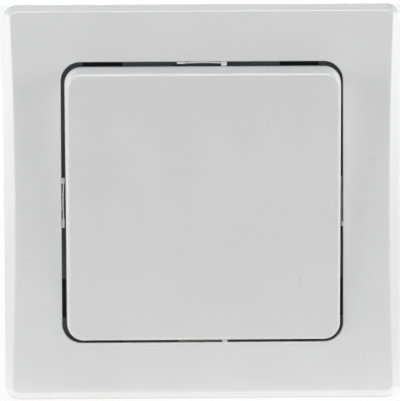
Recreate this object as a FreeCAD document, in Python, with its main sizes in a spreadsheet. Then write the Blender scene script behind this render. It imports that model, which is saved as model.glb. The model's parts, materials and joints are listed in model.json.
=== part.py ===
import FreeCAD, Part
import Sketcher
import math
import os
from types import SimpleNamespace

# Driving sizes in millimetres, angles in degrees
SIZES = {
    # Cover frame
    "frame_side": 80.0,  # width and height of the cover frame
    "frame_corner": 2.8,  # outer corner radius of the frame
    "frame_height": 9.0,  # height of the face's crown above the wall
    "frame_bevel": 2.2,  # bevel between rim and face
    "frame_wall": 2.0,  # thickness of the rim
    "frame_plate": 2.5,  # thickness of the face at its crown
    "frame_edge": 0.5,  # rounding between bevel and face
    "crown_radius": 900.0,  # radius of the crowned faces, top to bottom
    "opening_side": 56.9,  # width and height of the opening
    "opening_corner": 3.9,  # corner radius of the opening
    "opening_edge": 0.2,  # rounding of the opening's front edge
    # Spring leaves moulded on the frame
    "leaf_length": 10.0,  # length of a spring leaf with its root and tip
    "leaf_thickness": 0.25,  # thickness of a leaf
    "leaf_space": 0.29,  # gap between the ends of the upper and lower leaf and the button
    "leaf_touch": 0.05,  # gap between a side leaf's root and the button
    "leaf_wall_gap": 0.03,  # gap between a pressed leaf and the opening
    "slack_reach": 0.6,  # reach of the relaxed leaf's ends into the opening
    "slack_middle": 0.2,  # gap between the relaxed leaf's middle and the opening
    "slack_tip": 0.12,  # gap between the relaxed leaf's tip and the opening
    "leaf_inset": 0.8,  # leaf's front edge behind the crown of the face
    "leaf_lift": 2.5,  # free space between leaf and ring
    "sunk_height": 1.2,  # height of the sunk blades of the lower and right leaf
    "root_length": 1.1,  # length of a leaf's root along the opening
    "root_depth": 0.3,  # depth of a leaf's root in the frame
    "tip_length": 1.6,  # length of a leaf's tip along the opening
    # Support ring and the housing's flange
    "ring_gap": 2.5,  # gap between ring and rim
    "ring_corner": 5.0,  # corner radius of ring and flange
    "ring_thickness": 1.0,  # sheet thickness of the ring
    "flange_thickness": 1.0,  # thickness of the flange
    "cutout_length": 8.0,  # length of a cut-out in the ring
    "cutout_inset": 8.45,  # cut-out centre from the opening's next side
    "cutout_lip": 1.25,  # cut-out's inner edge inwards of the opening's own side
    "cutout_land": 3.8,  # ring beyond a cut-out's outer edge
    "screw_inset": 5.5,  # device screw's centre from the ring's edge
    "screw_hole": 1.7,  # radius of a screw hole
    "lug_along": 8.0,  # lug centre, along its side
    "lug_width": 3.0,  # width of a bent-up lug
    "lug_inset": 1.5,  # lug's inner face outwards of the opening
    "rivet_along": 9.0,  # rivet centre, along its side
    "rivet_inset": 2.7,  # rivet centre from the ring's window
    "rivet_radius": 1.25,  # shank radius of a rivet
    "rivet_head": 2.0,  # head radius of a rivet
    "rivet_head_height": 0.5,  # height of a rivet head
    "rivet_gap": 0.05,  # radial clearance of a rivet in its hole
    # Tilting button and its carrier
    "rest_tilt": 5.3,  # tilt at rest in degrees, top outwards
    "rocker_gap": 0.75,  # gap above and below the button, at its back edge
    "rocker_side_gap": 0.55,  # mean gap left and right of the button, at its back edge
    "rocker_corner": 3.4,  # corner radius of the button
    "rocker_draft": 3.0,  # slope of the button's sides in degrees
    "rocker_lift": 0.64,  # gap between the button's lower back edge and the ring at rest
    "rocker_face": 12.2,  # height of the button's face above the wall when level
    "rocker_wall": 1.7,  # side wall of the button
    "rocker_plate": 2.0,  # face thickness of the button
    "rocker_edge": 0.9,  # rounding of the button's front edge
    "rocker_play": 0.17,  # rest of button and carrier to the right, within the side play
    "carrier_width": 17.2,  # width of the carrier
    "carrier_length": 26.0,  # height of the carrier
    "carrier_wall": 1.3,  # side walls of the carrier
    "carrier_low": 1.6,  # carrier's underside above the tilt axis
    "carrier_floor": 1.8,  # floor thickness of the carrier
    "hub_radius": 1.7,  # radius of the carrier's hub
    "hub_gap": 0.3,  # gap between hub and housing cover
    "trunnion_radius": 1.4,  # radius of the trunnions
    "trunnion_gap": 0.05,  # radial clearance of the trunnions
    "clip_gap": 0.2,  # clearance between clip arms and carrier
    "clip_thickness": 1.4,  # thickness of a clip arm
    "clip_from": 6.0,  # clip arm's near edge above the middle
    "clip_width": 5.0,  # width of a clip arm
    "clip_barb": 0.6,  # reach of a clip's barb
    "clip_barb_height": 0.7,  # height of a clip's barb
    # Bearing cover and housing
    "cover_thickness": 1.0,  # plate thickness of the housing cover
    "cover_gap": 0.3,  # gap between cover and ring window
    "ear_gap": 0.4,  # gap between carrier and bearing ears
    "ear_thickness": 2.0,  # thickness of a bearing ear
    "ear_width": 6.0,  # width of a bearing ear
    "ear_above": 2.4,  # bearing ear above the tilt axis
    "box_side": 40.0,  # outer width and height of the housing box
    "box_depth": 20.0,  # depth of the housing box behind the wall plane
    "box_wall": 1.6,  # side walls of the box
    "box_back": 2.0,  # back wall of the box
    "box_corner": 2.0,  # corner radius of the box
    "window_margin": 0.5,  # ring's window beyond the box
    # Contacts
    "plunger_above": 8.0,  # plunger centre above the middle
    "plunger_side": 6.0,  # width of the plunger's stem
    "plunger_gap": 0.1,  # clearance of the stem in its guide
    "plunger_collar": 1.5,  # widening of the plunger's collar
    "collar_height": 2.0,  # height of the plunger's collar
    "guide_wall": 1.1,  # wall of the plunger guide
    "guide_depth": 2.5,  # length of the plunger guide behind the cover
    "foot_gap": 0.05,  # gap between carrier foot and plunger
    "foot_half": 1.5,  # half height of the carrier's foot
    "foot_low": 0.6,  # foot's tip below the tilt axis
    "bridge_depth": 5.2,  # contact bridge behind the wall plane
    "bridge_over": 2.0,  # bridge's end beyond its contact's centre
    "bridge_thickness": 0.8,  # thickness of the contact bridge
    "contact_at": 10.0,  # contact centre from the middle
    "contact_radius": 1.6,  # radius of a contact
    "contact_height": 0.8,  # height of a contact
    "contact_gap": 1.55,  # open gap between the contacts
    "bar_thickness": 0.8,  # thickness of a contact bar's ledge
    "bar_wall": 1.0,  # thickness of a contact bar along the box wall
    "bar_gap": 0.2,  # gap between contact bar and box wall
    "bar_over": 4.0,  # contact bar's end beyond a wire entry's centre
    "bar_lift": 0.5,  # gap between contact bar and back wall
    "spring_radius": 3.0,  # mean radius of the return spring
    "spring_wire": 0.3,  # wire radius of the return spring
    "spring_turns": 6.0,  # turns of the return spring
    "spring_gap": 0.1,  # gap at each end of the return spring
    "seat_radius": 2.2,  # radius of the spring seat
    "seat_height": 3.0,  # height of the spring seat
    # Wire clamps and release buttons
    "wire_radius": 1.6,  # radius of a wire entry
    "wire_inset": 1.9,  # wire entry's centre from the contact bar
    "wire_above": 8.0,  # wire entry from the middle, up and down
    "clamp_width": 4.8,  # width of a clamp spring
    "clamp_sheet": 0.5,  # sheet thickness of a clamp spring
    "clamp_tip": 0.4,  # bevel of the clamp's pressing edge
    "clamp_inner_bend": 0.3,  # inner bend before the outer one
    "clamp_inset": 0.4,  # gap between the clamp's pressing edge and the contact bar
    "clamp_bend": 2.8,  # length of the clamp's bridge
    "clamp_reach": 8.0,  # clamp's pressing edge from its inner leg
    "clamp_edge": 3.0,  # clamp's pressing edge in front of the back wall
    "clamp_drop": 0.45,  # gap between clamp and contact bar's ledge
    "clamp_lift": 0.4,  # gap between the clamp's inner leg and the back wall
    "rib_thickness": 1.0,  # thickness of a rib behind a clamp
    "rib_gap": 0.2,  # gap between rib and clamp
    "rib_drop": 0.6,  # rib's front behind the clamp's front
    "release_inset": 1.4,  # release button's inner edge from the clamp's inner leg
    "release_width": 3.4,  # width of a release button
    "release_half": 3.0,  # half height of a release button
    "release_gap": 0.1,  # clearance of a release button in its window
    "release_out": 1.0,  # release button's rest behind the box
    "release_shoulder": 1.5,  # widening of its shoulder
    "release_bar": 1.4,  # thickness of its cross bar
    "release_bar_lift": 2.0,  # cross bar's back in front of the back wall
}

TOUCH = 1e-4  # faces and corners nearer than this count as one place
PAST = 1.0  # a cut runs this far past the surface it opens

doc = FreeCAD.newDocument("push_button_switch")
sheet = doc.addObject("Spreadsheet::Sheet", "Sizes")
for row, (alias, value) in enumerate(SIZES.items(), 1):
    sheet.set(f"A{row}", alias.replace("_", " "))
    sheet.set(f"B{row}", str(value))
    sheet.setAlias(f"B{row}", alias)
doc.recompute()


class Size:
    """A length or an angle, with the sheet expression that gives it."""

    def __init__(self, text, value):
        self.text = text
        self.value = value

    def __add__(self, other):
        return Size(f"({self.text} + {words(other)})", self.value + number(other))

    def __radd__(self, other):
        return Size(f"({words(other)} + {self.text})", number(other) + self.value)

    def __sub__(self, other):
        return Size(f"({self.text} - {words(other)})", self.value - number(other))

    def __rsub__(self, other):
        return Size(f"({words(other)} - {self.text})", number(other) - self.value)

    def __mul__(self, other):
        return Size(f"({self.text} * {words(other)})", self.value * number(other))

    def __rmul__(self, other):
        return Size(f"({words(other)} * {self.text})", number(other) * self.value)

    def __truediv__(self, other):
        return Size(f"({self.text} / {words(other)})", self.value / number(other))

    def __neg__(self):
        return Size(f"(-{self.text})", -self.value)


def number(size):
    return size.value if isinstance(size, Size) else float(size)


def words(size):
    return size.text if isinstance(size, Size) else repr(float(size))


def sine(angle):
    return Size(f"sin({angle.text} * 1 deg)", math.sin(math.radians(angle.value)))


def cosine(angle):
    return Size(f"cos({angle.text} * 1 deg)", math.cos(math.radians(angle.value)))


dim = SimpleNamespace(**{alias: Size(f"Sizes.{alias}", value) for alias, value in SIZES.items()})


def vector(x, y, z=0):
    return FreeCAD.Vector(number(x), number(y), number(z))


def new_body(label):
    body = doc.addObject("PartDesign::Body", label)
    body.Label = label
    body.Placement = FreeCAD.Placement(vector(0, 0), FreeCAD.Rotation(vector(1, 0, 0), 90))
    return body


def bind(thing, path, size):
    thing.setExpression(path, words(size))


def block(body, name, x, y, z, cut=False):
    kind = "PartDesign::SubtractiveBox" if cut else "PartDesign::AdditiveBox"
    made = body.newObject(kind, name)
    for prop, axis, (low, high) in zip(("Length", "Width", "Height"), "xyz", (x, y, z)):
        bind(made, prop, high - low)
        bind(made, f"Placement.Base.{axis}", low)
    return made


def rod(body, name, centre, radius, low, high, cut=False):
    kind = "PartDesign::SubtractiveCylinder" if cut else "PartDesign::AdditiveCylinder"
    made = body.newObject(kind, name)
    bind(made, "Radius", radius)
    bind(made, "Height", high - low)
    bind(made, "Placement.Base.x", centre[0])
    bind(made, "Placement.Base.y", centre[1])
    bind(made, "Placement.Base.z", low)
    return made


def cross_rod(body, name, height, radius, half, cut=False):
    kind = "PartDesign::SubtractiveCylinder" if cut else "PartDesign::AdditiveCylinder"
    made = body.newObject(kind, name)
    made.Placement = FreeCAD.Placement(vector(0, 0), FreeCAD.Rotation(vector(0, 1, 0), 90))
    bind(made, "Radius", radius)
    bind(made, "Height", 2 * half)
    bind(made, "Placement.Base.x", -half)
    bind(made, "Placement.Base.z", height)
    return made


def origin_part(body, role):
    return next(part for part in body.Origin.OriginFeatures if part.Role == role)


def new_sketch(body, name, role, offset, turned=FreeCAD.Placement()):
    sketch = body.newObject("Sketcher::SketchObject", name)
    sketch.AttachmentSupport = [(origin_part(body, role), "")]
    sketch.MapMode = "FlatFace"
    sketch.AttachmentOffset = turned
    bind(sketch, "AttachmentOffset.Base.z", offset)
    return sketch


def pin(sketch, line, end, x, y):
    for kind, size in (("DistanceX", x), ("DistanceY", y)):
        index = sketch.addConstraint(Sketcher.Constraint(kind, -1, 1, line, end, number(size)))
        sketch.setExpression(f"Constraints[{index}]", words(size))


def polygon(sketch, points):
    first = sketch.GeometryCount
    count = len(points)
    for i in range(count):
        start = vector(*points[i])
        sketch.addGeometry(Part.LineSegment(start, vector(*points[(i + 1) % count])))
    for i in range(count):
        following = first + (i + 1) % count
        sketch.addConstraint(Sketcher.Constraint("Coincident", first + i, 2, following, 1))
        pin(sketch, first + i, 1, *points[i])


def pad(body, name, sketch, length, symmetric=False):
    made = body.newObject("PartDesign::Pad", name)
    made.Profile = sketch
    bind(made, "Length", length)
    if symmetric:
        made.SideType = "Symmetric"
    return made


def edges_where(feature, test):
    return [f"Edge{i}" for i, edge in enumerate(feature.Shape.Edges, 1) if test(edge)]


def dress(body, kind, name, test, prop, size):
    doc.recompute()
    base = body.Tip
    made = body.newObject(f"PartDesign::{kind}", name)
    made.Base = (base, edges_where(base, test))
    bind(made, prop, size)
    return made


def fillet(body, name, test, size):
    return dress(body, "Fillet", name, test, "Radius", size)


def chamfer(body, name, test, size):
    return dress(body, "Chamfer", name, test, "Size", size)


def near(value, size):
    return abs(value - number(size)) < TOUCH


def upright_at(x, y):
    def test(edge):
        box = edge.BoundBox
        upright = box.XLength < TOUCH and box.YLength < TOUCH
        return upright and near(abs(box.Center.x), x) and near(abs(box.Center.y), y)

    return test


def around(body, name, originals):
    doc.recompute()
    made = body.newObject("PartDesign::PolarPattern", name)
    made.Originals = originals
    made.Axis = (origin_part(body, "Z_Axis"), [""])
    made.Angle = 360
    made.Occurrences = 4
    body.Tip = made
    return made


def crown(body, name, half, top):
    sketch = new_sketch(body, f"{name}_profile", "YZ_Plane", 0)
    r, w, t = number(dim.crown_radius), number(half), number(top)
    reach = math.asin(w / r)
    circle = Part.Circle(vector(0, t - r), vector(0, 0, 1), r)
    ends = [(w, t - r + r * math.cos(reach)), (-w, t - r + r * math.cos(reach))]
    sketch.addGeometry(Part.ArcOfCircle(circle, math.pi / 2 - reach, math.pi / 2 + reach))
    above = t + PAST
    for start, end in ((ends[1], (-w, above)), ((-w, above), (w, above)), ((w, above), ends[0])):
        sketch.addGeometry(Part.LineSegment(vector(*start), vector(*end)))
    for i in range(4):
        sketch.addConstraint(Sketcher.Constraint("Coincident", i, 2, (i + 1) % 4, 1))
    sketch.addConstraint(Sketcher.Constraint("Vertical", 1))
    sketch.addConstraint(Sketcher.Constraint("Vertical", 3))
    index = sketch.addConstraint(Sketcher.Constraint("Radius", 0, r))
    sketch.setExpression(f"Constraints[{index}]", dim.crown_radius.text)
    pin(sketch, 0, 3, 0, top - dim.crown_radius)
    pin(sketch, 2, 1, -half, top + PAST)
    pin(sketch, 2, 2, half, top + PAST)
    made = body.newObject("PartDesign::Pocket", name)
    made.Profile = sketch
    made.SideType = "Symmetric"
    bind(made, "Length", 2 * half)
    return made


def plate(body, name, side, corner, low, high):
    block(body, name, (-side / 2, side / 2), (-side / 2, side / 2), (low, high))
    fillet(body, f"{name}_corners", upright_at(side / 2, side / 2), corner)


def ring_fixings(body):
    at = (ring_side / 2 - dim.screw_inset, 0)
    return [
        rod(body, "screw_hole", at, dim.screw_hole, 0, ring_front, True),
        rod(body, "rivet_hole", rivet_at, dim.rivet_radius + dim.rivet_gap, 0, ring_front, True),
    ]


def side_span(sign, low, high):
    return (low, high) if sign > 0 else (-high, -low)


ring_front = dim.flange_thickness + dim.ring_thickness
ring_side = dim.frame_side - 2 * dim.frame_wall - 2 * dim.ring_gap
cover_front = dim.flange_thickness + dim.cover_thickness
pivot_height = cover_front + dim.hub_radius + dim.hub_gap
plate_back = dim.frame_height - dim.frame_plate
frame_rim = dim.frame_height - dim.frame_bevel
opening_half = dim.opening_side / 2
window_half = dim.box_side / 2 + dim.window_margin
rivet_at = (dim.rivet_along, window_half + dim.rivet_inset)

# cover_frame: crowned square frame with bevelled rim, hollow behind, four spring leaves
frame = new_body("cover_frame")
half = dim.frame_side / 2
block(frame, "frame_block", (-half, half), (-half, half), (0, dim.frame_height))
fillet(frame, "frame_corners", upright_at(half, half), dim.frame_corner)
chamfer(
    frame,
    "rim_bevel",
    lambda edge: all(near(v.Z, dim.frame_height) for v in edge.Vertexes),
    dim.frame_bevel,
)
crown(frame, "face_crown", half + PAST, dim.frame_height)
fillet(
    frame,
    "face_edge",
    lambda edge: all(v.Z > (frame_rim + dim.frame_edge).value for v in edge.Vertexes),
    dim.frame_edge,
)
opening = (-opening_half, opening_half)
block(frame, "opening", opening, opening, (-PAST, dim.frame_height + PAST), True)
fillet(frame, "opening_corners", upright_at(opening_half, opening_half), dim.opening_corner)
inside = (-(half - dim.frame_wall), half - dim.frame_wall)
block(frame, "hollow", inside, inside, (-PAST, plate_back), True)


def opening_front(edge):
    middle = edge.valueAt((edge.FirstParameter + edge.LastParameter) / 2)
    reach = max(abs(middle.x), abs(middle.y))
    around_opening = (opening_half - dim.opening_corner).value < reach < opening_half.value + TOUCH
    middle_height = (plate_back + dim.frame_height).value / 2
    return around_opening and all(v.Z > middle_height for v in edge.Vertexes)


fillet(frame, "opening_rounding", opening_front, dim.opening_edge)


leaf_back = ring_front + dim.leaf_lift
leaf_height = dim.frame_height - dim.leaf_inset - leaf_back


def spring_leaf(name, angle, root_last, root_reach, reach, gaps, blade_height):
    """Root, bowed blade and free tip, drawn on the upper side and turned to its own."""
    turned = FreeCAD.Placement(vector(0, 0), FreeCAD.Rotation(vector(0, 0, 1), angle))
    end = dim.leaf_length / 2

    def outline(part):
        return new_sketch(frame, f"{name}_{part}_outline", "XY_Plane", leaf_back, turned)

    def bar(part, length, last, y, height):
        x = (end - length, end) if last else (-end, length - end)
        sketch = outline(part)
        polygon(sketch, [(x[0], y[0]), (x[1], y[0]), (x[1], y[1]), (x[0], y[1])])
        pad(frame, f"{name}_{part}", sketch, height)

    root_y = (opening_half - root_reach, opening_half + dim.root_depth)
    bar("root", dim.root_length, root_last, root_y, leaf_height)
    middle_gap, tip_gap = gaps
    inner = opening_half - reach
    bow = reach - dim.leaf_thickness - middle_gap
    radius = (end * end + bow * bow) / (2 * bow)
    swing = math.asin(end.value / radius.value)
    blade = outline("blade")
    for back in (inner, inner + dim.leaf_thickness):
        circle = Part.Circle(vector(0, back + bow - radius), vector(0, 0, 1), radius.value)
        arc = blade.addGeometry(Part.ArcOfCircle(circle, math.pi / 2 - swing, math.pi / 2 + swing))
        index = blade.addConstraint(Sketcher.Constraint("Radius", arc, radius.value))
        blade.setExpression(f"Constraints[{index}]", radius.text)
    for point, x in ((1, end), (2, -end)):
        line = blade.addGeometry(Part.LineSegment(vector(x, inner), vector(x, inner + dim.leaf_thickness)))
        blade.addConstraint(Sketcher.Constraint("Coincident", line, 1, 0, point))
        blade.addConstraint(Sketcher.Constraint("Coincident", line, 2, 1, point))
        pin(blade, line, 1, x, inner)
        pin(blade, line, 2, x, inner + dim.leaf_thickness)
    pad(frame, f"{name}_blade", blade, blade_height)
    bar("tip", dim.tip_length, not root_last, (inner, opening_half - tip_gap), blade_height)


pressed = (dim.leaf_wall_gap, dim.leaf_wall_gap)
upright_reach = dim.rocker_gap - dim.leaf_space
near_reach = dim.rocker_side_gap - dim.rocker_play - dim.leaf_touch
far_reach = dim.rocker_side_gap + dim.rocker_play - dim.leaf_touch
slack = (dim.slack_middle, dim.slack_tip)
spring_leaf("upper_leaf", 0, True, upright_reach, upright_reach, pressed, leaf_height)
spring_leaf("left_leaf", 90, True, far_reach, dim.slack_reach, slack, leaf_height)
spring_leaf("lower_leaf", 180, False, upright_reach, upright_reach, pressed, dim.sunk_height)
spring_leaf("right_leaf", 270, True, near_reach, near_reach, pressed, dim.sunk_height)

# support_ring: sheet-steel ring with screw holes, cut-outs and the lugs that carry the frame
ring = new_body("support_ring")
plate(ring, "ring_plate", ring_side, dim.ring_corner, dim.flange_thickness, ring_front)
window = (-window_half, window_half)
through = (0, ring_front + PAST)
block(ring, "window", window, window, through, True)
around(ring, "ring_holes", ring_fixings(ring))
middle = opening_half - dim.cutout_inset
along = (middle - dim.cutout_length / 2, middle + dim.cutout_length / 2)
inwards = opening_half - dim.cutout_lip
outwards = ring_side / 2 - dim.cutout_land
for sign, name in ((-1, "left"), (1, "right")):
    beside = side_span(sign, *along)
    block(ring, f"cutout_upper_{name}", beside, (inwards, outwards), through, True)
    block(ring, f"cutout_lower_{name}", beside, (-outwards, -inwards), through, True)
    block(ring, f"cutout_{name}", side_span(sign, inwards, outwards), (-along[1], -along[0]), through, True)
lug_y = (opening_half + dim.lug_inset, opening_half + dim.lug_inset + dim.ring_thickness)
lug_z = (dim.flange_thickness, plate_back)
lug_x = (dim.lug_along - dim.lug_width / 2, dim.lug_along + dim.lug_width / 2)
lugs = [
    block(ring, f"lug_{name}", side_span(sign, *lug_x), lug_y, lug_z)
    for sign, name in ((-1, "left"), (1, "right"))
]
around(ring, "ring_lugs", lugs)

# base_housing: box for the wall box, with a flange behind the ring
base = new_body("base_housing")
plate(base, "flange", ring_side, dim.ring_corner, 0, dim.flange_thickness)
box_half = dim.box_side / 2
block(base, "box", (-box_half, box_half), (-box_half, box_half), (-dim.box_depth, 0))
fillet(base, "box_corners", upright_at(box_half, box_half), dim.box_corner)
room = box_half - dim.box_wall
room_back = dim.box_back - dim.box_depth
block(base, "room", (-room, room), (-room, room), (room_back, dim.flange_thickness + PAST), True)
around(base, "flange_holes", ring_fixings(base))
bar_out = room - dim.bar_gap
wire_across = bar_out - dim.bar_wall - dim.wire_inset
clamp_far = bar_out - dim.bar_wall - dim.clamp_inset
clamp_from = clamp_far - dim.clamp_reach
release_from = clamp_from + dim.release_inset
bridge_back = -dim.bridge_depth - dim.bridge_thickness
contact_front = bridge_back - dim.contact_height - dim.contact_gap
bar_front = contact_front - dim.contact_height
clamp_front = bar_front - dim.bar_thickness - dim.clamp_drop
for sign, name in ((-1, "left"), (1, "right")):
    for up, level in ((1, "upper"), (-1, "lower")):
        at = (sign * wire_across, up * dim.wire_above)
        rod(base, f"wire_entry_{name}_{level}", at, dim.wire_radius, -dim.box_depth, room_back, True)
        rib_x = side_span(sign, clamp_from - dim.rib_gap - dim.rib_thickness, clamp_from - dim.rib_gap)
        rib_y = side_span(up, dim.wire_above - dim.clamp_width / 2, dim.wire_above + dim.clamp_width / 2)
        block(base, f"rib_{name}_{level}", rib_x, rib_y, (room_back, clamp_front - dim.rib_drop))
    key_end = release_from + dim.release_width
    slit = side_span(sign, release_from - dim.release_gap, key_end + dim.release_gap)
    slit_y = (-dim.release_half - dim.release_gap, dim.release_half + dim.release_gap)
    block(base, f"release_window_{name}", slit, slit_y, (-dim.box_depth, room_back), True)
rod(base, "spring_seat", (0, dim.plunger_above), dim.seat_radius, room_back, room_back + dim.seat_height)

# housing_cover: plate in the ring's window with bearing ears and the plunger guide
cover = new_body("housing_cover")
cover_side = 2 * (window_half - dim.cover_gap)
stem = dim.plunger_side / 2
plate(cover, "cover_plate", cover_side, dim.box_corner, dim.flange_thickness, cover_front)
guide = stem + dim.plunger_gap + dim.guide_wall
guide_back = dim.flange_thickness - dim.guide_depth
guide_y = (dim.plunger_above - guide, dim.plunger_above + guide)
block(cover, "guide", (-guide, guide), guide_y, (guide_back, dim.flange_thickness))
free = stem + dim.plunger_gap
free_y = (dim.plunger_above - free, dim.plunger_above + free)
free_z = (guide_back - PAST, cover_front + PAST)
block(cover, "guide_hole", (-free, free), free_y, free_z, True)
ear_in = dim.carrier_width / 2 + dim.ear_gap
for sign, name in ((-1, "left"), (1, "right")):
    ear_x = side_span(sign, ear_in, ear_in + dim.ear_thickness)
    ear_z = (cover_front, pivot_height + dim.ear_above)
    block(cover, f"ear_{name}", ear_x, (-dim.ear_width / 2, dim.ear_width / 2), ear_z)
bearing = dim.trunnion_radius + dim.trunnion_gap
cross_rod(cover, "bearing", pivot_height, bearing, ear_in + dim.ear_thickness + PAST, True)

# ring_rivets: four rivets, ring to flange
rivets = new_body("ring_rivets")
rivet = [
    rod(rivets, "shank", rivet_at, dim.rivet_radius, 0, ring_front),
    rod(rivets, "front_head", rivet_at, dim.rivet_head, ring_front, ring_front + dim.rivet_head_height),
    rod(rivets, "back_head", rivet_at, dim.rivet_head, -dim.rivet_head_height, 0),
]
around(rivets, "rivets", rivet)

# rocker: the square button, drawn from its tilt axis
rocker = new_body("rocker")
rocker_half = opening_half - dim.rocker_gap
rocker_wide = opening_half - dim.rocker_side_gap
low_edge = ring_front + dim.rocker_lift - pivot_height
low = (low_edge + rocker_half * sine(dim.rest_tilt)) / cosine(dim.rest_tilt)
top = dim.rocker_face - pivot_height
square = new_sketch(rocker, "rocker_outline", "XY_Plane", low)
polygon(
    square,
    [
        (-rocker_wide, -rocker_half),
        (rocker_wide, -rocker_half),
        (rocker_wide, rocker_half),
        (-rocker_wide, rocker_half),
    ],
)
solid = pad(rocker, "rocker_block", square, top - low)
bind(solid, "TaperAngle", -dim.rocker_draft)


def slanted(edge):
    return edge.BoundBox.ZLength > (top - low).value / 2


fillet(rocker, "rocker_corners", slanted, dim.rocker_corner)
crown(rocker, "rocker_crown", rocker_wide + PAST, top)
fillet(
    rocker,
    "rocker_rounding",
    lambda edge: all(v.Z > (low + top).value / 2 for v in edge.Vertexes),
    dim.rocker_edge,
)
cavity_x = rocker_wide - dim.rocker_wall
cavity_y = rocker_half - dim.rocker_wall
under = top - dim.rocker_plate
block(rocker, "rocker_hollow", (-cavity_x, cavity_x), (-cavity_y, cavity_y), (low - PAST, under), True)
fillet(rocker, "hollow_corners", upright_at(cavity_x, cavity_y), dim.rocker_corner - dim.rocker_wall)
clip_in = dim.carrier_width / 2 + dim.clip_gap
barb_top = dim.carrier_low - dim.clip_gap
barb_low = barb_top - dim.clip_barb_height
for sign, name in ((-1, "left"), (1, "right")):
    for up, level in ((1, "upper"), (-1, "lower")):
        clip_y = side_span(up, dim.clip_from, dim.clip_from + dim.clip_width)
        clip_x = side_span(sign, clip_in, clip_in + dim.clip_thickness)
        barb_x = side_span(sign, clip_in - dim.clip_barb, clip_in + dim.clip_thickness / 2)
        block(rocker, f"clip_{name}_{level}", clip_x, clip_y, (barb_low, under + dim.rocker_plate / 2))
        block(rocker, f"barb_{name}_{level}", barb_x, clip_y, (barb_low, barb_top))

# rocker_carrier: tray between the bearing ears, with trunnions and the foot over the plunger
carrier = new_body("rocker_carrier")
tray_x = dim.carrier_width / 2
tray_y = dim.carrier_length / 2
block(carrier, "tray", (-tray_x, tray_x), (-tray_y, tray_y), (dim.carrier_low, under))
hollow_x = tray_x - dim.carrier_wall
hollow_y = tray_y - dim.carrier_wall
hollow_z = (dim.carrier_low + dim.carrier_floor, under + PAST)
block(carrier, "tray_hollow", (-hollow_x, hollow_x), (-hollow_y, hollow_y), hollow_z, True)
block(carrier, "web", (-tray_x, tray_x), (-dim.hub_radius, dim.hub_radius), (0, dim.carrier_low))
cross_rod(carrier, "hub", 0, dim.hub_radius, tray_x)
cross_rod(carrier, "trunnions", 0, dim.trunnion_radius, ear_in + dim.ear_thickness - dim.trunnion_gap)
foot_y = (dim.plunger_above - dim.foot_half, dim.plunger_above + dim.foot_half)
block(carrier, "foot", (-stem, stem), foot_y, (-dim.foot_low, dim.carrier_low))
for tilted in (rocker, carrier):
    bind(tilted, "Placement.Base.x", dim.rocker_play)
    bind(tilted, "Placement.Base.y", -pivot_height)
    tilted.setExpression("Placement.Rotation.Angle", f"90 deg + {dim.rest_tilt.text} * 1 deg")

# plunger, contact bridge and contacts
plunger = new_body("plunger")
foot_rest = pivot_height - dim.foot_low * cosine(dim.rest_tilt) + foot_y[0] * sine(dim.rest_tilt)
stem_y = (dim.plunger_above - stem, dim.plunger_above + stem)
block(plunger, "stem", (-stem, stem), stem_y, (-dim.bridge_depth, foot_rest - dim.foot_gap))
wide = stem + dim.plunger_collar
wide_y = (dim.plunger_above - wide, dim.plunger_above + wide)
block(plunger, "collar", (-wide, wide), wide_y, (-dim.bridge_depth, dim.collar_height - dim.bridge_depth))

bridge = new_body("contact_bridge")
bridge_end = dim.contact_at + dim.bridge_over
block(bridge, "bridge", (-bridge_end, bridge_end), stem_y, (bridge_back, -dim.bridge_depth))

for sign, name in ((-1, "left"), (1, "right")):
    at = (sign * dim.contact_at, dim.plunger_above)
    moving = new_body(f"moving_contact_{name}")
    rod(moving, "contact", at, dim.contact_radius, bridge_back - dim.contact_height, bridge_back)
    fixed = new_body(f"fixed_contact_{name}")
    rod(fixed, "contact", at, dim.contact_radius, bar_front, contact_front)
    bar = new_body(f"contact_bar_{name}")
    ledge_x = side_span(sign, dim.contact_at - dim.contact_radius, bar_out)
    block(bar, "ledge", ledge_x, stem_y, (bar_front - dim.bar_thickness, bar_front))
    wall_x = side_span(sign, bar_out - dim.bar_wall, bar_out)
    bar_half = dim.wire_above + dim.bar_over
    block(bar, "wall", wall_x, (-bar_half, bar_half), (room_back + dim.bar_lift, bar_front))
    for up, level in ((1, "upper"), (-1, "lower")):
        clamp = new_body(f"clamp_spring_{name}_{level}")
        bent = new_sketch(clamp, "clamp_profile", "XZ_Plane", -up * dim.wire_above)
        leg_end = room_back + dim.clamp_lift
        edge_front = room_back + dim.clamp_edge
        bend = clamp_from + dim.clamp_bend
        shape = [
            (clamp_from, leg_end),
            (clamp_from, clamp_front),
            (bend, clamp_front),
            (clamp_far, edge_front),
            (clamp_far - dim.clamp_tip, edge_front - dim.clamp_tip),
            (bend - dim.clamp_inner_bend, clamp_front - dim.clamp_sheet),
            (clamp_from + dim.clamp_sheet, clamp_front - dim.clamp_sheet),
            (clamp_from + dim.clamp_sheet, leg_end),
        ]
        polygon(bent, [(sign * x, z) for x, z in shape])
        pad(clamp, "clamp", bent, dim.clamp_width, True)
    release = new_body(f"release_{name}")
    key_x = side_span(sign, release_from, key_end)
    back = -dim.box_depth - dim.release_out
    bar_low = room_back + dim.release_bar_lift
    block(release, "stem", key_x, (-dim.release_half, dim.release_half), (back, bar_low))
    broad = dim.release_half + dim.release_shoulder
    block(release, "shoulder", key_x, (-broad, broad), (room_back + dim.release_gap, bar_low))
    bar_end = dim.wire_above + dim.clamp_width / 2
    block(release, "cross_bar", key_x, (-bar_end, bar_end), (bar_low, bar_low + dim.release_bar))

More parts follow.
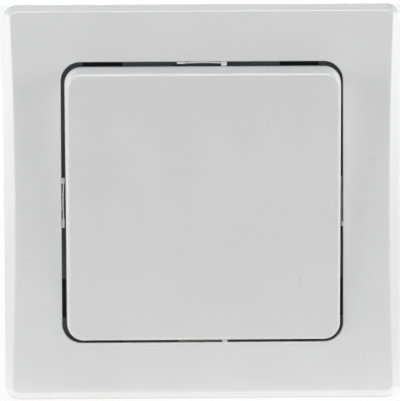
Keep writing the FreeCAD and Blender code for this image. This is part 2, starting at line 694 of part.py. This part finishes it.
# return_spring: coil between the housing's seat and the contact bridge
spring = new_body("return_spring")
coil_low = room_back + dim.spring_gap + dim.spring_wire
coil_high = bridge_back - dim.spring_gap - dim.spring_wire
wire = new_sketch(spring, "wire_profile", "XZ_Plane", 0)
wire.addGeometry(Part.Circle(vector(dim.spring_radius, coil_low), vector(0, 0, 1), dim.spring_wire.value))
index = wire.addConstraint(Sketcher.Constraint("Radius", 0, dim.spring_wire.value))
wire.setExpression(f"Constraints[{index}]", dim.spring_wire.text)
pin(wire, 0, 3, dim.spring_radius, coil_low)
coil = spring.newObject("PartDesign::AdditiveHelix", "coil")
coil.Profile = wire
coil.ReferenceAxis = (wire, ["V_Axis"])
coil.Mode = "height-turns-angle"
bind(coil, "Height", coil_high - coil_low)
bind(coil, "Turns", dim.spring_turns)
bind(spring, "Placement.Base.z", dim.plunger_above)

doc.recompute()

for thing in doc.Objects:
    if "Invalid" in thing.State or "Error" in thing.State:
        raise RuntimeError(f"{thing.Name} failed: {thing.State}")

os.makedirs("parts", exist_ok=True)
for thing in doc.Objects:
    if thing.TypeId != "PartDesign::Body":
        continue
    if thing.Shape.isNull() or not thing.Shape.isValid():
        raise RuntimeError(f"{thing.Label} has no valid shape")
    thing.Shape.exportStep(f"parts/{thing.Label}.step")
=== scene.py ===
import json
import math

import bmesh
import bpy
from mathutils import Matrix, Vector


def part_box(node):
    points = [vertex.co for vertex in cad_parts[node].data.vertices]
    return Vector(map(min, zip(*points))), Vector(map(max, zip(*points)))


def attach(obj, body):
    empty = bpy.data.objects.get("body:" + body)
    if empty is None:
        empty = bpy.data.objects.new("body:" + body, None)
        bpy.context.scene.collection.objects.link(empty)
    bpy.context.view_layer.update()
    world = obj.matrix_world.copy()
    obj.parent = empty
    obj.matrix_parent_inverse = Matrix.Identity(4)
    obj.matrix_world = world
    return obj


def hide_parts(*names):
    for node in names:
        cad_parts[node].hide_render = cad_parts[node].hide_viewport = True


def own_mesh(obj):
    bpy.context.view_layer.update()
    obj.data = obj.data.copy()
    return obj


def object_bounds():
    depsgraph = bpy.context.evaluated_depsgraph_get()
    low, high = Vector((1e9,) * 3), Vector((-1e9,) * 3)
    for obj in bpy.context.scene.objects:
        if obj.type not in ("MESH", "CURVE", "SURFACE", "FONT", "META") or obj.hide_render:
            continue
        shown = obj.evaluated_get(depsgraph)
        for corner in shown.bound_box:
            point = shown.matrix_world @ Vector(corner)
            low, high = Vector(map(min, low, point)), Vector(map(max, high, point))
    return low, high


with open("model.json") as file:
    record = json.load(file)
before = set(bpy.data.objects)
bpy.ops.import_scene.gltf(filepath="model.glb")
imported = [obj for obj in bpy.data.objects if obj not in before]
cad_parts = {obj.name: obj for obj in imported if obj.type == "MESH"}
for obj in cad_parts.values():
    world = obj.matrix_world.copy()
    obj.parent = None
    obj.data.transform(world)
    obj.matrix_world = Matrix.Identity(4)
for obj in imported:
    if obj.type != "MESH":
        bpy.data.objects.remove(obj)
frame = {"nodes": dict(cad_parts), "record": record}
nodes = frame["nodes"]
cad_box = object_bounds()

MM = 0.001
WHITE = (1.0, 1.0, 1.0)

# Camera at the photograph's viewing angle; the focal length is in the photograph's pixels
PHOTO_WIDTH = 400
FOCAL_PIXELS = 4318.0
CAMERA_PITCH = math.radians(4.88)
CAMERA_YAW = math.radians(1.56)
CAMERA_ROLL = math.radians(-0.21)
CAMERA_DISTANCE = 875.5 * MM
CAMERA_TARGET = Vector((-0.389, -5.0, 0.081)) * MM
SENSOR_WIDTH = 36.0
CLIP_NEAR = 0.05
CLIP_FAR = 20.0

# Plastic: scales of the cloudy tint and the mould's grain, where the tint's blend starts,
# how far the roughness strays and how strongly the grain shows
TINT_SCALE = 60.0
TINT_EDGE = 0.3
MOULD_SCALE = 2600.0
MOULD_DETAIL = 2.0
GLOSS_STRAY = 0.05
MOULD_STRENGTH = 0.5

# Metal: the same for the cloudy plating and the grain of the rolled sheet
PLATING_SCALE = 140.0
PLATING_EDGE = 0.25
PLATING_VARIATION = 0.12
ROLLED_SCALE = 1500.0
ROLLED_DETAIL = 4.0
ROLLED_DEPTH = 0.02 * MM
ROLLED_STRENGTH = 0.4
SMOOTHER = 0.08
ROUGHER = 0.1

# Faint dust on the faces, in millimetres: x and z of the middle, half width and half height
DUST_SHADE = 0.9
FRAME_DUST = [
    ((-35.2, -11.5), (0.8, 0.3)),
    ((34.6, 8.6), (0.5, 0.3)),
    ((-29.0, -29.3), (0.35, 0.4)),
]
BUTTON_DUST = [
    ((13.2, 16.2), (0.35, 0.7)),
    ((19.5, -15.6), (0.35, 0.9)),
]


def add_node(tree, kind, **settings):
    node = tree.nodes.new(kind)
    for name, value in settings.items():
        setattr(node, name, value)
    return node


def new_material(name):
    material = bpy.data.materials.new(name)
    material.use_nodes = True
    tree = material.node_tree
    shader = tree.nodes["Principled BSDF"]
    place = add_node(tree, "ShaderNodeTexCoord")
    return material, tree, shader, place.outputs["Object"]


def noise(tree, place, scale, detail=3.0):
    made = add_node(tree, "ShaderNodeTexNoise")
    made.inputs["Scale"].default_value = scale
    made.inputs["Detail"].default_value = detail
    tree.links.new(place, made.inputs["Vector"])
    return made.outputs["Fac"]


def ramp(tree, factor, low, high, edge):
    """Low where the factor is under edge, high where it is over 1 - edge, a blend between."""
    made = add_node(tree, "ShaderNodeValToRGB")
    stops = ((edge, low), (1 - edge, high))
    for element, (position, colour) in zip(made.color_ramp.elements, stops):
        element.position = position
        element.color = (*colour, 1.0)
    tree.links.new(factor, made.inputs["Fac"])
    return made.outputs["Color"]


def spread(tree, factor, low, high):
    made = add_node(tree, "ShaderNodeMapRange")
    made.inputs["To Min"].default_value = low
    made.inputs["To Max"].default_value = high
    tree.links.new(factor, made.inputs["Value"])
    return made.outputs["Result"]


def bump(tree, shader, height, distance, strength):
    made = add_node(tree, "ShaderNodeBump")
    made.inputs["Distance"].default_value = distance
    made.inputs["Strength"].default_value = strength
    tree.links.new(height, made.inputs["Height"])
    tree.links.new(made.outputs["Normal"], shader.inputs["Normal"])


def math_node(tree, operation, first, second):
    made = add_node(tree, "ShaderNodeMath", operation=operation)
    tree.links.new(first, made.inputs[0])
    tree.links.new(second, made.inputs[1])
    return made.outputs[0]


def shade(colour, factor):
    return tuple(channel * factor for channel in colour)


def dust(tree, place, marks):
    """1 in the middle of a dust mark, 0 on clean plastic; a mark is an ellipse on the face."""
    nearest = None
    for (x, z), (half_width, half_height) in marks:
        offset = add_node(tree, "ShaderNodeVectorMath", operation="SUBTRACT")
        offset.inputs[1].default_value = (x * MM, 0.0, z * MM)
        tree.links.new(place, offset.inputs[0])
        scaled = add_node(tree, "ShaderNodeVectorMath", operation="MULTIPLY")
        scaled.inputs[1].default_value = (1 / (half_width * MM), 0.0, 1 / (half_height * MM))
        tree.links.new(offset.outputs["Vector"], scaled.inputs[0])
        length = add_node(tree, "ShaderNodeVectorMath", operation="LENGTH")
        tree.links.new(scaled.outputs["Vector"], length.inputs[0])
        away = length.outputs["Value"]
        nearest = away if nearest is None else math_node(tree, "MINIMUM", nearest, away)
    return spread(tree, nearest, 1.0, 0.0)


def side_wall(tree, amount):
    """The amount on walls square to the front, falling to 0 on faces that look to the front."""
    normal = add_node(tree, "ShaderNodeTexCoord").outputs["Normal"]
    split = add_node(tree, "ShaderNodeSeparateXYZ")
    tree.links.new(normal, split.inputs["Vector"])
    front = add_node(tree, "ShaderNodeMath", operation="ABSOLUTE")
    tree.links.new(split.outputs["Y"], front.inputs[0])
    return spread(tree, front.outputs[0], amount, 0.0)


def plastic(name, colour, roughness, grain, variation=0.02, marks=(), matt_walls=0.0):
    """Moulded plastic: cloudy tint, the mould's grain, uneven gloss, dust, rougher side walls."""
    material, tree, shader, place = new_material(name)
    cloud = noise(tree, place, TINT_SCALE)
    dark, bright = shade(colour, 1 - variation), shade(colour, 1 + variation)
    tint = ramp(tree, cloud, dark, bright, TINT_EDGE)
    if marks:
        dusty = add_node(tree, "ShaderNodeMix", data_type="RGBA")
        dusty.inputs["B"].default_value = (*shade(colour, DUST_SHADE), 1.0)
        tree.links.new(dust(tree, place, marks), dusty.inputs["Factor"])
        tree.links.new(tint, dusty.inputs["A"])
        tint = dusty.outputs["Result"]
    tree.links.new(tint, shader.inputs["Base Color"])
    fine = noise(tree, place, MOULD_SCALE, MOULD_DETAIL)
    uneven = spread(tree, fine, roughness - GLOSS_STRAY, roughness + GLOSS_STRAY)
    if matt_walls:
        uneven = math_node(tree, "ADD", uneven, side_wall(tree, matt_walls))
    tree.links.new(uneven, shader.inputs["Roughness"])
    bump(tree, shader, fine, grain, MOULD_STRENGTH)
    return material


def metal(name, colour, roughness, squeeze=(1.0, 1.0, 1.0)):
    """Rolled or plated metal: cloudy plating, uneven gloss, grain squeezed along x, y and z."""
    material, tree, shader, place = new_material(name)
    squeezed = add_node(tree, "ShaderNodeMapping")
    squeezed.inputs["Scale"].default_value = squeeze
    tree.links.new(place, squeezed.inputs["Vector"])
    grain = noise(tree, squeezed.outputs["Vector"], ROLLED_SCALE, ROLLED_DETAIL)
    cloud = noise(tree, place, PLATING_SCALE)
    dark, bright = shade(colour, 1 - PLATING_VARIATION), shade(colour, 1 + PLATING_VARIATION)
    tree.links.new(ramp(tree, cloud, dark, bright, PLATING_EDGE), shader.inputs["Base Color"])
    uneven = spread(tree, grain, roughness - SMOOTHER, roughness + ROUGHER)
    tree.links.new(uneven, shader.inputs["Roughness"])
    shader.inputs["Metallic"].default_value = 1.0
    bump(tree, shader, grain, ROLLED_DEPTH, ROLLED_STRENGTH)
    return material


# Finishes by material slot; a plastic's grain is the depth of the mould's texture
FACE_GRAIN = 0.004 * MM
INSERT_GRAIN = 0.01 * MM
HOUSING_GRAIN = 0.02 * MM
PLASTICS = {
    "frame_white": {
        "colour": (0.796, 0.79, 0.787), "roughness": 0.24, "grain": FACE_GRAIN,
        "marks": FRAME_DUST,
    },
    "button_white": {
        "colour": (0.767, 0.76, 0.755), "roughness": 0.22, "grain": FACE_GRAIN,
        "marks": BUTTON_DUST, "matt_walls": 0.6,
    },
    "carrier_plastic": {
        "colour": (0.5, 0.5, 0.48), "roughness": 0.5, "grain": INSERT_GRAIN, "variation": 0.05,
    },
    "housing_plastic": {
        "colour": (0.022, 0.022, 0.024), "roughness": 0.48, "grain": HOUSING_GRAIN,
        "variation": 0.2,
    },
    "cover_plastic": {
        "colour": (0.32, 0.32, 0.31), "roughness": 0.5, "grain": INSERT_GRAIN, "variation": 0.05,
    },
    "plunger_plastic": {
        "colour": (0.62, 0.6, 0.52), "roughness": 0.45, "grain": INSERT_GRAIN, "variation": 0.05,
    },
    "release_plastic": {
        "colour": (0.4, 0.41, 0.42), "roughness": 0.42, "grain": INSERT_GRAIN, "variation": 0.05,
    },
}
METALS = {
    # zinc_steel: zinc-plated steel, its colour darkened well below bare plating as painted shade
    # for the deep gap around the button
    "zinc_steel": {"colour": (0.19, 0.195, 0.2), "roughness": 0.45, "squeeze": (1.0, 1.0, 12.0)},
    "rivet_steel": {"colour": (0.58, 0.58, 0.57), "roughness": 0.3},
    "contact_brass": {"colour": (0.72, 0.5, 0.22), "roughness": 0.3, "squeeze": (8.0, 1.0, 1.0)},
    "contact_silver": {"colour": (0.85, 0.84, 0.8), "roughness": 0.22},
    "spring_steel": {"colour": (0.55, 0.56, 0.57), "roughness": 0.28},
}
finishes = {slot: plastic(slot, **settings) for slot, settings in PLASTICS.items()}
finishes.update({slot: metal(slot, **settings) for slot, settings in METALS.items()})
for part in frame["record"]["subparts"]:
    node = nodes[part["node"]]
    node.data.materials.clear()
    node.data.materials.append(finishes[part["material_slot"]])


def add_piece(name, shape, slot):
    """Object made from a bmesh, which is freed, with the finish of a material slot."""
    bmesh.ops.recalc_face_normals(shape, faces=shape.faces)
    mesh = bpy.data.meshes.new(name)
    shape.to_mesh(mesh)
    shape.free()
    mesh.materials.append(finishes[slot])
    piece = bpy.data.objects.new(name, mesh)
    bpy.context.scene.collection.objects.link(piece)
    return piece


# Leaf details in the gap, in millimetres; a rib has its outline in x and z, then its front in y
RIB_ROUNDING = 0.15
RIB_SEGMENTS = 3
QUARTER_STEPS = 4
LEAF_TOP = 28.4
LEAF_BACK = -4.6
UPPER_FRONT = -8.15
LEAF_RIBS = {
    "lower_leaf_web": ([(-5.0, -28.95), (5.0, -28.95), (4.6, -27.92), (-4.6, -27.92)], -5.6),
    "left_leaf_stop": ([(-29.6, -2.2), (-28.27, -1.7), (-28.27, 1.7), (-29.6, 2.2)], -5.2),
    "right_leaf_stop": ([(29.8, -2.2), (28.46, -1.7), (28.46, 1.7), (29.8, 2.2)], -5.2),
}


def moulded_rib(name, outline, front, back):
    """Small rib of the cover frame: an outline in x and z drawn out along y, front rim rounded."""
    shape = bmesh.new()
    base = shape.faces.new([shape.verts.new((x * MM, back * MM, z * MM)) for x, z in outline])
    grown = bmesh.ops.extrude_face_region(shape, geom=[base])["geom"]
    ends = [item for item in grown if isinstance(item, bmesh.types.BMVert)]
    bmesh.ops.translate(shape, verts=ends, vec=(0.0, (front - back) * MM, 0.0))
    rim = [item for item in grown if isinstance(item, bmesh.types.BMEdge)]
    rounding = {"offset": RIB_ROUNDING * MM, "segments": RIB_SEGMENTS, "profile": 0.5}
    bmesh.ops.bevel(shape, geom=rim, affect="EDGES", **rounding)
    rib = add_piece(name, shape, "frame_white")
    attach(rib, "insert")
    return rib


def rounded_foot(left, right, low, high, radius):
    """Outline of a leaf's end: straight at the frame, round towards the button."""
    outline = [(left, high)]
    for middle, start in ((left + radius, 180), (right - radius, 270)):
        for step in range(QUARTER_STEPS + 1):
            angle = math.radians(start + 90 * step / QUARTER_STEPS)
            x = middle + radius * math.cos(angle)
            z = low + radius * (1 + math.sin(angle))
            outline.append((x, z))
    outline.append((right, high))
    return outline


upper_outline = rounded_foot(left=3.85, right=5.05, low=27.5, high=LEAF_TOP, radius=0.3)
upper_end = moulded_rib("upper_leaf_end", upper_outline, UPPER_FRONT, LEAF_BACK)
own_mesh(upper_end)
for rib_name, (rib_outline, rib_front) in LEAF_RIBS.items():
    moulded_rib(rib_name, rib_outline, rib_front, LEAF_BACK)

# Return spring: a wire coil between the contact bridge and its seat in the housing
SPRING_RADIUS = 3.0 * MM
SPRING_TURNS = 6.0
WIRE_SIDES = 12
TURN_STEPS = 36


def wound_coil(name, front, back, radius, turns):
    """Round wire wound evenly about the y axis, as wide and long as the box from front to back."""
    middle = (front + back) / 2
    wire = (back.x - front.x) / 2 - radius
    length = back.y - front.y - 2 * wire
    steps = round(turns * TURN_STEPS)

    def point(along):
        angle = 2 * math.pi * turns * along
        x = middle.x + radius * math.cos(angle)
        z = middle.z + radius * math.sin(angle)
        return Vector((x, back.y - wire - length * along, z))

    shape = bmesh.new()
    rings = []
    for step in range(steps + 1):
        here = point(step / steps)
        ahead = point((step + 1) / steps) - point((step - 1) / steps)
        outward = Vector((here.x - middle.x, 0.0, here.z - middle.z)).normalized()
        across = ahead.normalized().cross(outward).normalized()
        ring = []
        for side in range(WIRE_SIDES):
            turn = 2 * math.pi * side / WIRE_SIDES
            offset = math.cos(turn) * outward + math.sin(turn) * across
            ring.append(shape.verts.new(here + wire * offset))
        rings.append(ring)
    for first, second in zip(rings, rings[1:]):
        for side in range(WIRE_SIDES):
            after = (side + 1) % WIRE_SIDES
            wall = shape.faces.new((first[side], first[after], second[after], second[side]))
            wall.smooth = True
    shape.faces.new(list(reversed(rings[0])))
    shape.faces.new(rings[-1])
    coil = add_piece(name, shape, "spring_steel")
    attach(coil, "insert")
    return coil


coil_front, coil_seat = (Vector(corner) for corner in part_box("return_spring"))
coil = wound_coil("return_spring_coil", coil_front, coil_seat, SPRING_RADIUS, SPRING_TURNS)
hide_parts("return_spring")
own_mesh(coil)

# White studio: the camera, reflections and glass see it white, and it adds little other light
WORLD_LIGHT = 0.15
FLOOR_REACH = 2.0
FLOOR_TONES = ((0.86, 0.86, 0.86), (0.9, 0.9, 0.9))
FLOOR_SCALE = 3.0
FLOOR_EDGE = 0.3
FLOOR_ROUGHNESS = 0.9
FLOOR_WHITE_SHARE = 0.9
floor_level = cad_box[0].z


def seen_directly(tree):
    """1 for camera, glossy and transmission rays, which see the white studio."""
    path = add_node(tree, "ShaderNodeLightPath").outputs
    first = math_node(tree, "MAXIMUM", path["Is Camera Ray"], path["Is Glossy Ray"])
    return math_node(tree, "MAXIMUM", first, path["Is Transmission Ray"])


def add_world():
    world = bpy.data.worlds.new("studio")
    bpy.context.scene.world = world
    world.use_nodes = True
    tree = world.node_tree
    background = tree.nodes["Background"]
    background.inputs["Color"].default_value = (*WHITE, 1.0)
    strength = spread(tree, seen_directly(tree), WORLD_LIGHT, 1.0)
    tree.links.new(strength, background.inputs["Strength"])


def add_floor():
    mesh = bpy.data.meshes.new("floor")
    signs = ((-1, -1), (1, -1), (1, 1), (-1, 1))
    corners = [(x * FLOOR_REACH, y * FLOOR_REACH, 0) for x, y in signs]
    mesh.from_pydata(corners, [], [(0, 1, 2, 3)])
    floor = bpy.data.objects.new("floor", mesh)
    floor.location.z = floor_level
    bpy.context.scene.collection.objects.link(floor)
    material, tree, shader, place = new_material("floor")
    pale = ramp(tree, noise(tree, place, FLOOR_SCALE), *FLOOR_TONES, FLOOR_EDGE)
    tree.links.new(pale, shader.inputs["Base Color"])
    shader.inputs["Roughness"].default_value = FLOOR_ROUGHNESS
    glow = add_node(tree, "ShaderNodeEmission")
    share = add_node(tree, "ShaderNodeMath", operation="MULTIPLY")
    share.inputs[1].default_value = FLOOR_WHITE_SHARE
    tree.links.new(seen_directly(tree), share.inputs[0])
    mix = add_node(tree, "ShaderNodeMixShader")
    tree.links.new(share.outputs[0], mix.inputs["Fac"])
    tree.links.new(shader.outputs["BSDF"], mix.inputs[1])
    tree.links.new(glow.outputs["Emission"], mix.inputs[2])
    tree.links.new(mix.outputs["Shader"], tree.nodes["Material Output"].inputs["Surface"])
    mesh.materials.append(material)


add_world()
add_floor()

# Lamps: place, aim, width and height in metres, watts;
# the strips and the floor's glow lie just over the floor and face up
lamp_level = floor_level + 0.1 * MM
LAMPS = {
    "left_softbox": ((-0.8, -0.17, 0.05), (0, 0, 0), (0.6, 0.5), 4.8),
    "right_softbox": ((0.8, -0.17, 0.05), (0, 0, 0), (0.6, 0.5), 4.8),
    "top_softbox": ((0, -0.17, 0.85), (0, 0, 0), (0.5, 0.5), 1.55),
    "front_softbox": ((0, -0.98, 0.62), (0, 0, 0), (0.6, 0.2), 2.0),
    "gloss_softbox": ((0, -0.75, 0.75), (0, 0, 0), (1.2, 0.5), 11.0),
    "gloss_strip": ((0, -0.0118, lamp_level), (0, -0.0118, 1.0), (0.07, 0.003), 0.002),
    "floor_strip": ((0, -0.0107, lamp_level), (0, -0.0107, 1.0), (0.12, 0.0076), 0.0012),
    "floor_glow": ((0, -0.06, lamp_level), (0, -0.06, 1.0), (0.3, 0.09), 0.0108),
    "back_softbox": ((0.1, 1.0, 0.5), (0, 0, 0), (0.8, 0.8), 5.0),
}
LAMP_TINTS = {"top_softbox": (0.87, 0.935, 1.0)}
ONLY_REFLECTED = {"gloss_softbox", "gloss_strip"}


def area_light(name, place, target, size, power):
    light = bpy.data.lights.new(name, "AREA")
    light.shape = "RECTANGLE"
    light.color = LAMP_TINTS.get(name, WHITE)
    light.size, light.size_y = size
    light.energy = power
    lamp = bpy.data.objects.new(name, light)
    lamp.location = place
    lamp.rotation_euler = (Vector(target) - Vector(place)).to_track_quat("-Z", "Y").to_euler()
    lamp.visible_camera = False
    lamp.visible_diffuse = name not in ONLY_REFLECTED
    bpy.context.scene.collection.objects.link(lamp)


for lamp_name, lamp_settings in LAMPS.items():
    area_light(lamp_name, *lamp_settings)

# Camera: turned by yaw and pitch, then rolled about its own axis
forward = Vector(
    (
        math.sin(CAMERA_YAW) * math.cos(CAMERA_PITCH),
        math.cos(CAMERA_YAW) * math.cos(CAMERA_PITCH),
        -math.sin(CAMERA_PITCH),
    )
)
level = Vector((math.cos(CAMERA_YAW), -math.sin(CAMERA_YAW), 0.0))
above = level.cross(forward)
right = math.cos(CAMERA_ROLL) * level + math.sin(CAMERA_ROLL) * above
up = right.cross(forward)
camera = bpy.data.objects.new("camera", bpy.data.cameras.new("camera"))
camera.data.sensor_fit = "HORIZONTAL"
camera.data.sensor_width = SENSOR_WIDTH
camera.data.lens = SENSOR_WIDTH * FOCAL_PIXELS / PHOTO_WIDTH
camera.data.clip_start = CLIP_NEAR
camera.data.clip_end = CLIP_FAR
camera_turn = Matrix((right, up, -forward)).transposed().to_4x4()
camera.matrix_world = Matrix.Translation(CAMERA_TARGET - forward * CAMERA_DISTANCE) @ camera_turn
bpy.context.scene.collection.objects.link(camera)
bpy.context.scene.camera = camera

bpy.context.scene.view_settings.view_transform = "Standard"
